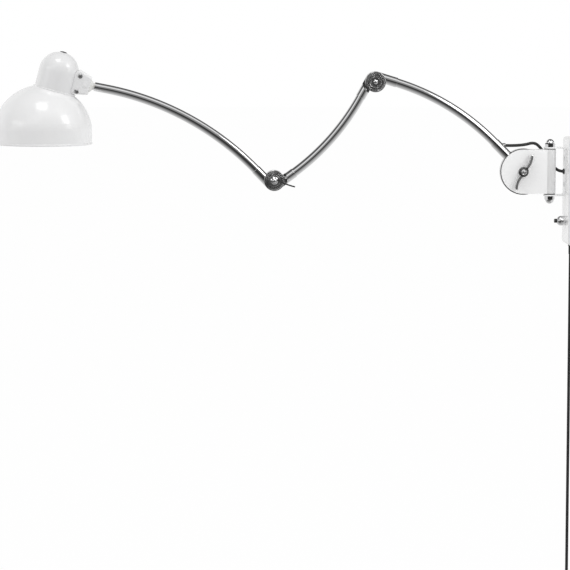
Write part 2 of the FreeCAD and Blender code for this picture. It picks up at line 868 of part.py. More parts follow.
def lead_clip():
    """A clip round the lead with a foot riveted to the far cheek."""
    centre = lead_clip_centre()
    way = clip_way()
    start = centre - way * (clip_length / 2)
    band = pipe(flex_r + clip_wall, flex_r + running_fit, start, way, clip_length)
    face = cheek_outer
    gap = centre.y - face - flex_r
    half = clip_length / 2
    side = way.cross(FAR).normalize()
    under = centre - FAR * (flex_r + clip_wall * 0.5)
    foot = Part.makeBox(clip_length, clip_foot, gap - clip_wall * 0.5)
    matrix = FreeCAD.Matrix(way.x, side.x, NEAR.x, under.x - way.x * half - side.x * 2,
                            way.y, side.y, NEAR.y, under.y - way.y * half - side.y * 2,
                            way.z, side.z, NEAR.z, under.z - way.z * half - side.z * 2,
                            0, 0, 0, 1)
    foot = foot.transformGeometry(matrix)
    keep = block(centre.x - 30, centre.x + 30, face, centre.y + 20, centre.z - 30, centre.z + 30)
    on_face = centre + side * (clip_foot / 2 + 1) - FAR * (centre.y - face)
    rivet = dome_cap(clip_rivet_r, clip_rivet_h, on_face, FAR, UP)
    body = joined(band, foot.common(keep), rivet)
    return body.cut(rod(flex_r + running_fit, start - way * 5, way, clip_length + 10))


def lead_upper():
    """From the spout on the arm to the clip; it bends as the arm tilts."""
    mouth = spout_mouth()
    points = [mouth - WALLWARD * 4] + [knuckle + V(*p) for p in lead_upper_route]
    points.append(lead_clip_centre())
    return cord_tube("lead, upper", points, flex_r)


def lead_lower():
    """From the clip to the grommet; it bends as the knuckle swivels."""
    end = V(front_x - strap_thickness, 0, knuckle_height)
    points = [lead_clip_centre()] + [knuckle + V(*p) for p in lead_lower_route] + [end]
    return cord_tube("lead, lower", points, flex_r)


# ---- inner arm ---------------------------------------------------------------------------

def spout_mouth():
    """Where the lead leaves the drum's socket, level with the wall's normal."""
    return knuckle + V(-spout_back, 0, spout_height)


def inner_drum():
    """The flanged drum between the cheeks and the socket that holds the arm's tube."""
    half = drum_half
    back = knuckle + FAR * -half
    small_r = knuckle_reach - barrel_r - drum_barrel_gap
    big_r = cheek_r + drum_rim_proud
    far = 2 * big_r
    wedge = slab([knuckle, knuckle + in_plane(drum_stop_angle) * far, knuckle + V(far, 0, far),
                  knuckle + V(far, 0, -far), knuckle + in_plane(-drum_stop_angle) * far],
                 -half - 1, half + 1)
    disc = joined(rod(small_r, back, FAR, 2 * half),
                  rod(big_r, back, FAR, 2 * half).cut(wedge))
    depth = half - drum_web / 2
    pocket_r = small_r - drum_rim_width
    for start, way in ((back, FAR), (knuckle + FAR * half, NEAR)):
        disc = disc.cut(pipe(pocket_r, drum_hub_r, start - way, way, depth + 1))
    mouth = inner.start
    way = inner.start_way
    socket = rod(socket_r, mouth, way, drum_reach - drum_hub_r / 2)
    boss = rod(spout_r, spout_mouth(), AWAY, spout_mouth().x - spout_axis_x())
    socket = joined(socket, boss)
    for out in (NEAR, FAR):
        socket = socket.cut(rod(cheek_r + 0.6, knuckle + out * half, out, 2 * socket_r))
    body = joined(disc, socket)
    seat = rod(tube_r + seat_fit, mouth - way, way, 1 + drum_socket_length - 6)
    passage = rod(flex_bore_r, spout_mouth() + WALLWARD, AWAY,
                  1 + spout_mouth().x - spout_axis_x())
    bolt = rod(fork_bolt_r + running_fit, back - FAR, FAR, 2 * half + 2)
    return without(body, seat, passage, bolt)


def spout_axis_x():
    """Where the spout's level line meets the socket's axis."""
    down = (inner.start.z - spout_mouth().z) / -inner.start_way.z
    return inner.start.x + inner.start_way.x * down


def knuckle_friction_washers():
    washers = []
    for way in (FAR, NEAR):
        face = knuckle + way * drum_half
        washers.append(pipe(drum_hub_r - 0.5, fork_bolt_r + running_fit, face, way,
                            friction_washer))
    return washers


def inner_tube():
    end = drum_socket_length - 6.2
    tube = inner.tube(end, elbow_reach - near_stop)
    slot = rod(flex_bore_r + 0.4, spout_mouth() + WALLWARD, AWAY,
               1 + spout_mouth().x - spout_axis_x())
    return tube.cut(slot)


def arm_flex(arm, past_1, past_2):
    return arm.swept_rod(flex_r, past_1, past_2)


# ---- elbows --------------------------------------------------------------------------------

def elbow_end(pivot, mouth, way, side, clear_r, stop):
    """Half an elbow: a dished disc, the socket for the tube and the way for the flex."""
    out = NEAR if side == "near" else FAR
    split = pivot + out * split_y
    thick = elbow_half - split_y
    disc = spun([(0, 0), (elbow_r - 0.4, 0), (elbow_r, 0.4), (elbow_r, thick - 1.6),
                 ("via", elbow_r - 0.47, thick - 0.47), (elbow_r - 1.6, thick),
                 (dish_outer_r, thick), (dish_outer_r - dish_depth, thick - dish_depth),
                 (dish_inner_r + dish_depth, thick - dish_depth), (dish_inner_r, thick),
                 (0, thick)],
                split, out, UP)
    ring_base = split + out * (thick - dish_depth - 0.2)
    ring = pipe(dish_ring_r, dish_ring_r - dish_ring_width, ring_base, out, 0.9)
    socket = rod(socket_r, mouth, way, elbow_reach)
    socket = rounded_edges(socket, 0.5, lambda e: (e.CenterOfMass - mouth).Length < 0.1)
    other = rod(clear_r, split, out * -1, 2 * elbow_half)
    dish = pipe(dish_outer_r - dish_depth, dish_inner_r + dish_depth,
                split + out * (thick - dish_depth), out, 2 * dish_depth)
    body = joined(disc, socket.cut(other)).cut(dish).fuse(ring)
    depth = elbow_reach - stop + 0.2
    seat = rod(tube_r + seat_fit, mouth - way, way, 1 + depth)
    shoulder = mouth + way * depth
    chamber_r = dish_inner_r + 3
    chamber_depth = thick * 0.55
    chamber = rod(chamber_r, split - out, out, 1 + chamber_depth)
    aim = pivot + out * (split_y + chamber_depth / 2) - shoulder
    flex_way = rod(flex_bore_r, shoulder, aim, aim.Length - dish_inner_r)
    hole = rod(elbow_bolt_r + seat_fit, pivot - out * elbow_half * 2, out, elbow_half * 4)
    return without(body, seat, chamber, flex_way, hole)


def elbow_washer_ring(pivot, out):
    """The friction washer, on the split face of the half that carries it."""
    face = pivot + out * split_y
    return pipe(elbow_r - 2.5, dish_inner_r + 4, face, out * -1, elbow_washer - face_gap)


def elbow_bolt(pivot, out):
    """A domed head on one side and a shank through both halves into the lever's hub."""
    face = pivot + out * elbow_half
    head = dome_cap(elbow_cap_r, elbow_cap_h, face, out, UP)
    return joined(head, rod(elbow_bolt_r, face, out * -1, 2 * elbow_half + lever_hub_h - 1))


def lever(pivot, out, angle):
    """The clamping lever: a threaded hub with a domed end and one thin curved blade."""
    base = pivot + out * (elbow_half + face_gap)
    hub = spun([(0, 0), (lever_hub_r, 0), (lever_hub_r, 1.2), (lever_hub_r - 1.8, 2.4),
                (lever_hub_r - 2.2, lever_hub_h), (0, lever_hub_h)], base, out, UP)
    cap = dome_cap(elbow_cap_r, elbow_cap_h, base + out * lever_hub_h, out, UP)
    along = in_plane(angle)
    side = turned(along)
    foot = base + out * (1.0 if out.y < 0 else 1.0 + lever_blade_h)
    points = [(foot + along * 2.0 + side * 4.2, side), (foot + along * 23.0 + side * 0.6, side),
              (foot + along * lever_length, side)]
    arm = blade(points, lever_thickness, lever_blade_h, 1.4)
    bore = rod(elbow_bolt_r + running_fit, base - out, out, lever_hub_h + 0.2)
    return joined(hub, cap, arm).cut(bore)


# ---- outer arm's end and the ball ------------------------------------------------------------

tube_end = ball_centre - outer.end_way * (ball_r + ball_flat_gap)


def ball_bush():
    """The bush in the tube's end that the ball's stem turns in."""
    length = stem_length - stem_collar_h - 2
    return pipe(tube_r - tube_wall - seat_fit, stem_r + running_fit, tube_end,
                outer.end_way * -1, length)


def joint_ball():
    """The ball, its stem and the collar that keeps the stem in the tube."""
    back = outer.end_way * -1
    ball = Part.makeSphere(ball_r, ball_centre)
    stem = rod(stem_r, ball_centre, back, ball_r + ball_flat_gap + stem_length)
    neck = rod(ball_neck_r, ball_centre, back, ball_r + ball_flat_gap - face_gap)
    collar_at = tube_end + back * (stem_length - stem_collar_h)
    collar = rod(stem_collar_r, collar_at, back, stem_collar_h)
    bore = rod(flex_bore_r, ball_centre - back * 2 * ball_r, back, 2 * ball_reach)
    return joined(ball, neck, stem, collar).cut(bore)


# ---- head ---------------------------------------------------------------------------------------

def head_at(out, up, y=0.0):
    """A point by its distance from the neck's axis and its height over the dome's centre."""
    return dome_centre + neck_out * out + neck_up * up + V(0, y, 0)


def ball_liner():
    """Two cups of a liner between the ball and its socket, one on each side."""
    inner_r = ball_r + liner_fit
    shell = Part.makeSphere(inner_r + liner_wall, ball_centre)
    shell = shell.cut(Part.makeSphere(inner_r, ball_centre))
    cups = []
    for way in (NEAR, FAR):
        side = rod(ball_r * 2, ball_centre + way * (tube_r + 1.2), way, ball_r * 2)
        trim = rod(inner_r + liner_wall / 2, ball_centre - neck_up * ball_r, neck_up, 2 * ball_r)
        cup = shell.common(side).common(trim)
        cups.append(cup.cut(rod(2.0, ball_centre, way, ball_r * 2)))
    return cups


clamp_foot = [(35.5, 102.0), (35.5, 150.0), (44.0, 157.0)]     # (from the axis, height)
clamp_heel = (46.0, 104.2)


def on_round_end(corner, side):
    """Where a line from a corner of the foot touches the clamp's round end."""
    out, up = ball_from_neck - corner[0], ball_from_dome - corner[1]
    reach = math.hypot(out, up)
    angle = math.atan2(up, out) + side * math.asin(clamp_end_r / reach)
    length = math.sqrt(reach ** 2 - clamp_end_r ** 2)
    return corner[0] + length * math.cos(angle), corner[1] + length * math.sin(angle)


def clamp_outline():
    """The clamp from the side: a foot on the neck and a round end about the ball."""
    top = head_at(*on_round_end(clamp_foot[-1], 1))
    low = head_at(*on_round_end(clamp_heel, -1))
    tip = ball_centre + neck_out * clamp_end_r
    corners = [head_at(*p) for p in clamp_foot]
    edges = [Part.LineSegment(a, b).toShape() for a, b in zip(corners, corners[1:] + [top])]
    heel = head_at(*clamp_heel)
    edges.append(Part.Arc(top, tip, low).toShape())
    edges.append(Part.LineSegment(low, heel).toShape())
    edges.append(Part.LineSegment(heel, corners[0]).toShape())
    return Part.Face(Part.Wire(edges))


def clamp_half(way):
    half = clamp_outline()
    half.translate(way * (clamp_split / 2))
    half = half.extrude(way * (clamp_width / 2 - clamp_split / 2))
    outer_y = way.y * clamp_width / 2

    def soft(e):
        flat = e.BoundBox.YLength < 1e-6 and abs(e.CenterOfMass.y - outer_y) < 1e-6
        from_neck = (e.CenterOfMass - dome_centre).dot(neck_out)
        return flat and from_neck > 36

    half = rounded_edges(half, clamp_round, soft)
    bump = dome_cap(clamp_bump_r, clamp_bump_h, ball_centre + way * (clamp_width / 2), way, UP)
    mouth = Part.makeBox(clamp_end_r, 2 * clamp_width, 3 * clamp_end_r,
                         V(0, -clamp_width, -1.5 * clamp_end_r))
    mouth.rotate(V(0, 0, 0), FAR, neck_tilt)
    mouth.translate(ball_centre + neck_out * clamp_mouth)
    half = joined(half, bump).cut(mouth)
    past = 3 * neck_r
    seat = Part.makeSphere(ball_r + liner_fit * 2 + liner_wall, ball_centre)
    saddle = rod(neck_r + seat_fit, head_at(0, 40), neck_up, past)
    flex_hole = rod(flex_r * 2, ball_centre, neck_out * -1, ball_from_neck)
    half = without(half, seat, saddle, flex_hole)
    for p in clamp_screw_places():
        half = half.cut(rod(clamp_screw_r + seat_fit, p + NEAR, FAR, clamp_width + 2))
    for p, out in fixing_screw_places(way):
        half = half.cut(rod(fixing_screw_r + seat_fit, p, out, 14))
    return half


def clamp_screw_places():
    """Where the two cross screws' heads sit, on the near half's face."""
    return [head_at(47.2, 144.4, -clamp_width / 2), head_at(47.0, 110.2, -clamp_width / 2)]


def clamp_screws():
    screws = []
    for p in clamp_screw_places():
        head = dome_cap(clamp_screw_head_r, clamp_screw_head_h, p, NEAR, UP)
        slot = block(p.x - 9, p.x + 9, p.y - 4, p.y - 1.0, p.z - 0.7, p.z + 0.7)
        slot.rotate(p, FAR, 50)
        shank = rod(clamp_screw_r, p, FAR, clamp_width - 1)
        screws.append(joined(head.cut(slot), shank))
    return screws


def fixing_screw_places(way):
    """From inside the neck, out through its wall into one half of the clamp."""
    y = way.y * fixing_screw_y
    depth = math.sqrt((neck_r - neck_wall) ** 2 - y ** 2)
    return [(head_at(depth, up, y), V(neck_out)) for up in fixing_screw_heights]


def fixing_screws():
    screws = []
    for way in (NEAR, FAR):
        for p, out in fixing_screw_places(way):
            start = p - out * 1.6
            head = dome_cap(fixing_screw_head_r, fixing_screw_head_h, start, out * -1, FAR)
            screws.append(joined(head, rod(fixing_screw_r, start, out, 11)))
    return screws


def neck_housing():
    """The round-topped housing over the lampholder, with a floor on the shade's collar."""
    base = head_at(0, 0)
    top = neck_centre + neck_r
    s = math.sqrt(0.5)
    r_in = neck_r - neck_wall
    outside = spun([(0, collar_height), (neck_r, collar_height), (neck_r, neck_centre),
                    ("via", neck_r * s, neck_centre + neck_r * s), (0, top)],
                   base, neck_up, FAR)
    floor_top = collar_height + neck_floor
    inside = spun([(0, floor_top), (r_in, floor_top), (r_in, neck_centre),
                   ("via", r_in * s, neck_centre + r_in * s), (0, neck_centre + r_in)],
                  base, neck_up, FAR)
    body = outside.cut(inside)
    tools = [rod(holder_r + seat_fit, head_at(0, collar_height - 1), neck_up, 10),
             rod(button_stem_r + seat_fit, head_at(0, top - 10), neck_up, 20),
             rod(flex_r * 2, head_at(neck_r - 12, ball_from_dome), neck_out, 20)]
    for p in neck_screw_places():
        tools.append(rod(neck_screw_r + seat_fit, p, neck_up, 30))
    for way in (NEAR, FAR):
        for p, out in fixing_screw_places(way):
            tools.append(rod(fixing_screw_r + seat_fit, p - out * 3, out, 14))
            tools.append(rod(fixing_screw_head_r + 0.4, p - out * 8, out, 6.4))
    return without(body, *tools)


def neck_screw_places():
    places = []
    for k in range(3):
        a = math.radians(60 + 120 * k)
        out = neck_out * (neck_screw_circle_r * math.cos(a))
        side = FAR * (neck_screw_circle_r * math.sin(a))
        places.append(head_at(0, collar_height - collar_thickness) + out + side)
    return places


def neck_screws():
    screws = []
    length = collar_thickness + neck_floor + 3
    for p in neck_screw_places():
        head = dome_cap(housing_screw_head_r, housing_screw_head_h, p, neck_up * -1, FAR)
        screws.append(joined(head, rod(neck_screw_r, p, neck_up, length)))
    return screws


def crown_button():
    top = head_at(0, neck_centre + neck_r)
    sink = neck_r - math.sqrt(neck_r ** 2 - button_r ** 2)
    rim = 0.8 - sink
    cap = spun([(0, -sink), (button_r, -sink), (button_r, rim),
                over_axis(button_r, rim, button_proud), (0, button_proud)], top, neck_up, FAR)
    cap = cap.cut(Part.makeSphere(neck_r + seat_fit, head_at(0, neck_centre)))
    return joined(cap, rod(button_stem_r, top + neck_up, neck_up * -1, button_stem_h))


def shade_outline(grown):
    """The shade's outer surface, drawn in by grown, from the skirt's top to the crown.

    The skirt runs into the round through an arc that is tangent to both."""
    r = dome_r - grown
    edge = skirt_r - grown
    blend = skirt_blend_r - grown
    side = edge - blend
    lift = math.sqrt((r - blend) ** 2 - side ** 2)
    meet = math.atan2(lift, side)
    low = meet / 2
    high = (meet + math.pi / 2) / 2
    return [(edge, lift),
            ("via", side + blend * math.cos(low), lift + blend * math.sin(low)),
            (r * math.cos(meet), r * math.sin(meet)),
            ("via", r * math.cos(high), r * math.sin(high)), (0, r)]


def shade_dome():
    """The spun dome, its straight skirt, the rolled bead and the collar for the neck."""
    low = -skirt_below
    centre = dome_centre + UP * shade_lift
    outside = spun([(0, low), (skirt_r, low)] + shade_outline(0), centre, UP, FAR)
    inner_edge = skirt_r - shade_wall
    inside = spun([(0, low - 1), (inner_edge, low - 1)] + shade_outline(shade_wall),
                  centre, UP, FAR)
    shell = outside.cut(inside)
    bead = Part.makeTorus(skirt_r - bead_r + bead_proud, bead_r, centre + UP * (low + bead_r), UP)
    shell = shell.cut(rod(collar_r - 1.5, head_at(0, collar_height - 12), neck_up, 40))
    collar = pipe(collar_r, collar_bore_r, head_at(0, collar_height - collar_thickness),
                  neck_up, collar_thickness)
    collar = rounded_edges(collar, 0.8, lambda e: abs(e.Length - 2 * math.pi * collar_r) < 1
                           and (e.CenterOfMass - head_at(0, collar_height)).Length < 1)
    body = joined(shell, bead, collar)
    for p in neck_screw_places():
        body = body.cut(rod(neck_screw_r + running_fit, p - neck_up, neck_up, 20))
    return body


def lampholder():
    """The lampholder: a threaded body, the shoulder it hangs by and the cap on top."""
    floor_top = collar_height + neck_floor
    base = head_at(0, 0)
    low = floor_top - holder_below
    top = floor_top + holder_above
    body = spun([(0, low), (holder_r, low), (holder_r, floor_top), (holder_shoulder_r, floor_top),
                 (holder_shoulder_r, floor_top + holder_shoulder_h),
                 (holder_r, floor_top + holder_shoulder_h), (holder_r - 2, top - 4),
                 (9.0, top), (0, top)], base, neck_up, FAR)
    socket = rod(holder_socket_r, head_at(0, low - 1), neck_up, 1 + holder_socket_depth)
    entry = rod(head_flex_r + seat_fit, head_at(0, top - 8), neck_up, 10)
    return without(body, socket, entry)


def holder_ring():
    """The ring nut under the collar that draws the lampholder's shoulder down."""
    return pipe(holder_ring_r, holder_r + seat_fit,
                head_at(0, collar_height - holder_ring_h), neck_up, holder_ring_h)


def bulb_base():
    return head_at(0, collar_height + neck_floor - holder_below + holder_socket_depth)


def bulb_cap():
    base = bulb_base()
    down = neck_up * -1
    profile = [(0, 0), (5, 0), (7, 1.6), (bulb_cap_r - 1.2, 3.4)]
    ridges = 5
    pitch = (bulb_cap_length - 6) / ridges
    for k in range(ridges):
        h = 3.4 + pitch * k
        profile += [(bulb_cap_r, h + pitch * 0.45), (bulb_cap_r - 0.9, h + pitch)]
    profile += [(bulb_cap_r, bulb_cap_length), (0, bulb_cap_length)]
    return spun(profile, base, down, FAR)


def bulb_glass():
    """The envelope, open at the neck, where the cap closes it."""
    start = bulb_base() - neck_up * bulb_cap_length
    centre_h = bulb_length - bulb_r
    s = math.sqrt(0.5)
    solids = []
    for grown in (0, bulb_wall):
        r = bulb_r - grown
        neck = bulb_neck_r - grown
        shoulder = bulb_r * 0.76 - grown
        solids.append(spun([(0, 0), (neck, 0), (neck, 3), (shoulder, centre_h * 0.58),
                            ("via", bulb_r * 0.975 - grown, centre_h - bulb_r * 0.16),
                            (r, centre_h), ("via", r * s, centre_h + r * s),
                            (0, bulb_length - grown)], start, neck_up * -1, FAR))
    return solids[0].cut(solids[1])


def head_flex():
    """From the clamp's passage up and over into the top of the lampholder."""
    top = collar_height + neck_floor + holder_above
    start = ball_from_neck - ball_r - liner_wall - 3.5
    loop = 2 * head_flex_bend
    points = [head_at(start, ball_from_dome), head_at(loop, ball_from_dome),
              head_at(loop, ball_from_dome + loop), head_at(0, ball_from_dome + loop),
              head_at(0, top - 7)]
    return cord_tube("head flex", points, head_flex_r)


# ---- mains cord, coil, tie and plug ----------------------------------------------------------------

coil_centre = V(cord_x, coil_outer_r, -coil_drop)


def mains_cord():
    top = V(cord_x, 0, -cord_top)
    return rod(flex_r, top, V(0, 0, -1), coil_drop - 2 * flex_r - cord_top)


def coil_radius(quarter):
    """The winding's radius: in at a steady rate, and out again at the same rate."""
    return coil_outer_r - coil_pitch / 4 * min(quarter, 2 * coil_in_quarters - quarter)


def coil_station(quarter):
    """A point on the winding and the direction there."""
    a = math.radians(90 * quarter)
    back = V(0, -math.cos(a), -math.sin(a))
    ahead = V(0, math.sin(a), -math.cos(a))
    r = coil_radius(quarter)
    steady_in = 0 < quarter < coil_in_quarters
    steady_out = coil_in_quarters < quarter < 2 * coil_in_quarters
    slope = coil_pitch / (2 * math.pi) * (steady_out - steady_in)
    climb = min(max(quarter - coil_in_quarters + 1, 0), 2) / 2
    rising = 0 < climb < 1
    lean = coil_layer / math.pi * 1.5 * rising
    point = coil_centre + back * r + AWAY * (coil_layer * climb)
    way = (ahead * r + back * slope + AWAY * lean).normalize()
    return point, way


def biarc(start, start_way, end, end_way):
    """Two arcs that leave start and reach end in the given directions."""
    v = end - start
    t = start_way + end_way
    spread = 1 - start_way.dot(end_way)
    arm = (math.sqrt(v.dot(t) ** 2 + 2 * spread * v.dot(v)) - v.dot(t)) / (2 * spread)
    corner_1 = start + start_way * arm
    corner_2 = end - end_way * arm
    meet = (corner_1 + corner_2) * 0.5
    return [corner_arc(start, corner_1, meet), corner_arc(meet, corner_2, end)]


def corner_arc(a, corner, b):
    """The arc from a to b that is tangent to both lines through the corner."""
    chord_middle = (a + b) * 0.5
    to_corner = corner - chord_middle
    half_chord = (b - a).Length / 2
    half_turn = math.atan2(to_corner.Length, half_chord)
    sagitta = half_chord * math.tan(half_turn / 2)
    return Part.Arc(a, chord_middle + to_corner.normalize() * sagitta, b).toShape()


def coil_path():
    stations = [coil_station(q) for q in range(2 * coil_in_quarters + 1)]
    down = V(0, 0, -1)
    first, final = stations[0][0], stations[-1][0]
    edges = [Part.LineSegment(first - down * 2 * flex_r, first).toShape()]
    for (a, a_way), (b, b_way) in zip(stations, stations[1:]):
        edges += biarc(a, a_way, b, b_way)
    edges.append(Part.LineSegment(final, final + down * plug_run).toShape())
    return Part.Wire(edges)


def mains_cord_coil():
    """Six turns in two layers, from one unbroken tube."""
    path = coil_path()
    down = V(0, 0, -1)
    tube = swept(path, flex_r, coil_station(0)[0] - down * 2 * flex_r, down)
    share = tube.Volume / (math.pi * flex_r ** 2 * path.Length)
    print("coil: length %.1f, volume / (section x length) %.4f, least gap %.2f"
          % (path.Length, share, least_gap(path)))
    return tube


def least_gap(path):
    """The least gap of the tube to itself, on points along its line."""
    step = 2.0
    points = path.discretize(Distance=step)
    apart = int(math.pi * 2 * flex_r * 2 / step)
    least = 1e9
    for i, p in enumerate(points):
        for q in points[i + apart:]:
            least = min(least, (p - q).Length)
    return least - 2 * flex_r


def tie_span():
    """The bundle's innermost and outermost radii where the tie holds it."""
    inner_r = coil_radius(coil_in_quarters - 2)
    return inner_r - flex_r - tie_gap, coil_radius(2) + flex_r + tie_gap


def cord_tie():
    low_r, high_r = tie_span()
    x0 = cord_x - coil_layer - flex_r - tie_gap
    x1 = cord_x + flex_r + tie_gap
    y = coil_centre.y
    z = coil_centre.z
    half = tie_width / 2
    w = tie_wall
    band = block(x0 - w, x1 + w, y + low_r - w, y + high_r + w, z - half, z + half)
    band = rounded_edges(band, 2.0, lambda e: e.BoundBox.ZLength > tie_width - 0.1)
    hole = block(x0, x1, y + low_r, y + high_r, z - half - 1, z + half + 1)
    return band.cut(rounded_edges(hole, 0.8, lambda e: e.BoundBox.ZLength > tie_width))


def plug_top():
    return V(cord_x - coil_layer, 0, coil_centre.z - plug_run)


def plug_body():
    """A flat two-pin plug that hangs from the coil's end, with its tapered strain relief."""
    top = plug_top()
    down = V(0, 0, -1)
    neck = Part.makeCone(plug_top_r, plug_top_r + 2, plug_taper, top, down)
    z1 = top.z - plug_taper + 1
    z0 = z1 - plug_length
    outline = [V(0, -6.6, z1), V(0, 6.6, z1), V(0, plug_width / 2, z0 + 12),
               V(0, plug_width / 2, z0), V(0, -plug_width / 2, z0), V(0, -plug_width / 2, z0 + 12)]
    half_t = plug_thickness / 2
    corners = [V(top.x - half_t, p.y, p.z) for p in outline]
    body = Part.Face(Part.makePolygon(corners + corners[:1])).extrude(V(plug_thickness, 0, 0))
    body = rounded_edges(body, 2.0, lambda e: True)
    body = joined(body, neck)
    for y in (-plug_pin_spacing / 2, plug_pin_spacing / 2):
        body = body.cut(rod(plug_pin_r + seat_fit, V(top.x, y, z0 - 1), UP, 9))
    return body.cut(rod(flex_r + seat_fit, top - down, down, 1))


def plug_pins():
    z0 = plug_top().z - plug_taper + 1 - plug_length
    pins = []
    for y in (-plug_pin_spacing / 2, plug_pin_spacing / 2):
        start = V(plug_top().x, y, z0 + 7)
        pin = rod(plug_pin_r, start, V(0, 0, -1), 7 + plug_pin_length)
        pins.append(rounded_edges(pin, 1.2, lambda e: e.BoundBox.ZMax < z0 - plug_pin_length + 0.1))
    return pins


# ---- write every piece ------------------------------------------------------------------------------

def main():
    os.makedirs("parts", exist_ok=True)
    save("wall_plate", wall_plate())
    save("wall_housing", wall_housing())
    save("housing_screws", *housing_screws())
    save("hinge_strap", hinge_strap())
    save("strap_screws", *strap_screws())
    save("pivot_pin", pivot_pin())
    save("acorn_nuts", *acorn_nuts())
    save("lead_grommet", lead_grommet())
    save("cord_gland", cord_gland())
    save("switch_body", switch_body())
    save("switch_collar", switch_collar())
    save("switch_button", switch_button())
    save("terminal_block", terminal_block())
    save("box_flex", *box_flex())
    save("mains_cord", mains_cord())
    save("mains_cord_coil", mains_cord_coil())
    save("cord_tie", cord_tie())
    save("plug_body", plug_body())
    save("plug_pins", *plug_pins())

    save("knuckle_fork", knuckle_fork())
    save("barrel_bushes", *barrel_bushes())
    save("knuckle_bolt", knuckle_bolt())
    save("knuckle_wing_nut", wing_nut())
    save("lead_clip", lead_clip())
    save("lead_upper", lead_upper())
    save("lead_lower", lead_lower())

    save("inner_drum", inner_drum())
    save("knuckle_friction_washers", *knuckle_friction_washers())
    save("inner_tube", inner_tube())
    save("inner_flex", arm_flex(inner, 0, elbow_reach - near_stop))
    save("inner_elbow_end", elbow_end(elbow_a, inner.end, inner.end_way, "near",
                                      near_clear_r, near_stop))
    save("elbow_a_bolt", elbow_bolt(elbow_a, NEAR))
    save("elbow_a_washer", elbow_washer_ring(elbow_a, NEAR))
    lever_a_angle = math.degrees(math.atan2(-inner.end_way.z, -inner.end_way.x)) + lever_a_lift
    save("elbow_a_lever", lever(elbow_a, FAR, lever_a_angle))

    save("middle_upper_end", elbow_end(elbow_a, middle.start, middle.start_way, "far",
                                       far_clear_r, far_stop))
    save("middle_tube", middle.tube(elbow_reach - far_stop, elbow_reach - far_stop))
    save("middle_flex", arm_flex(middle, elbow_reach - far_stop, elbow_reach - far_stop))
    save("middle_lower_end", elbow_end(elbow_b, middle.end, middle.end_way, "far",
                                       far_clear_r, far_stop))

    save("outer_elbow_end", elbow_end(elbow_b, outer.start, outer.start_way, "near",
                                      near_clear_r, near_stop))
    save("elbow_b_bolt", elbow_bolt(elbow_b, FAR))
    save("elbow_b_washer", elbow_washer_ring(elbow_b, NEAR))
    save("elbow_b_lever", lever(elbow_b, NEAR, lever_b_angle))
    save("outer_tube", outer.tube(elbow_reach - near_stop, stem_length))
    save("outer_flex", arm_flex(outer, elbow_reach - near_stop, ball_reach + ball_r - 4))
    save("ball_bush", ball_bush())
    save("joint_ball", joint_ball())
    save("ball_liner", *ball_liner())

    save("clamp_near_half", clamp_half(NEAR))
    save("clamp_far_half", clamp_half(FAR))
    save("clamp_screws", *clamp_screws())
    save("fixing_screws", *fixing_screws())
    save("neck_housing", neck_housing())
    save("neck_screws", *neck_screws())
    save("crown_button", crown_button())
    save("shade_dome", shade_dome())
    save("lampholder", lampholder())
    save("holder_ring", holder_ring())
    save("bulb_cap", bulb_cap())
    save("bulb_glass", bulb_glass())
    save("head_flex", head_flex())


main()
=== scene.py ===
import math

import bpy
from mathutils import Matrix, Vector


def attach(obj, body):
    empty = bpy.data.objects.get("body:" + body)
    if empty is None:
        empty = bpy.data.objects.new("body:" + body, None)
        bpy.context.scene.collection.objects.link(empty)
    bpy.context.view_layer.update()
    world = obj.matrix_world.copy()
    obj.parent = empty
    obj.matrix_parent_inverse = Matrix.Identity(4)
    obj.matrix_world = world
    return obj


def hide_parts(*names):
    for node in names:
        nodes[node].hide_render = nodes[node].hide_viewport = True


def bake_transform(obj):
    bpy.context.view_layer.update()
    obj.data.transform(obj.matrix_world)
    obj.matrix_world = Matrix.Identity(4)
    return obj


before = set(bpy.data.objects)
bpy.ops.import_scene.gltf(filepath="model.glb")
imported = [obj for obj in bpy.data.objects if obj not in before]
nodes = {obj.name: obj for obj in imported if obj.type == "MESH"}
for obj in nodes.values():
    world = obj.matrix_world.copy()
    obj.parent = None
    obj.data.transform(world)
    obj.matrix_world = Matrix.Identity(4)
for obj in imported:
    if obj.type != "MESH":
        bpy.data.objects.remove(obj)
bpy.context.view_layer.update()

# Articulating wall lamp: a white wall box and knuckle, three chrome tube arms and a
# white enamelled shade.  Metres, in the CAD's frame: +X into the wall, +Z up, and the
# side that the lamp is seen from is -Y.

scene = bpy.context.scene

# ---- places that part.py gives ------------------------------------------------------

BOX_FRONT_X = -0.038
BARREL_X = -0.0798                  # where the near cheek ends and the barrel shows
KNUCKLE = Vector((-0.1315, 0.0, 0.042))
ELBOW_A = Vector((-0.4532, 0.0, 0.236062))
ELBOW_B = Vector((-0.67138, 0.0, 0.023223))
DOME = Vector((-1.169057, 0.0, 0.120526))
DRUM_R = 0.0501
WING_RING = (0.0066, 0.0112)        # the wing nut's hub, outside its cap
ELBOW_DISC_R = 0.0225
DISH_FACE_Y = 0.0096                # of an elbow's dished face, from the arms' plane

FLEX_R = 0.00325
CORD_X = -0.0256
GLAND_TIP_Z = -0.138
HANGING_Z = (-0.18, -0.40, -0.65, -0.85, -0.895)    # down the straight part
COIL_CENTRE = Vector((CORD_X, 0.0456, -0.916))
COIL_OUTER_R = 0.0456
COIL_PITCH = 0.0071
COIL_LAYER = 0.0073
COIL_TURNS = 3                      # inwards, and as many out again
COIL_STEPS = 24                     # points of the route in one turn
LAYER_CHANGE = 0.5                  # of a turn, to step from one layer to the other
PLUG_RUN = (0.012, 0.030, 0.050)    # down from the coil's end to the plug

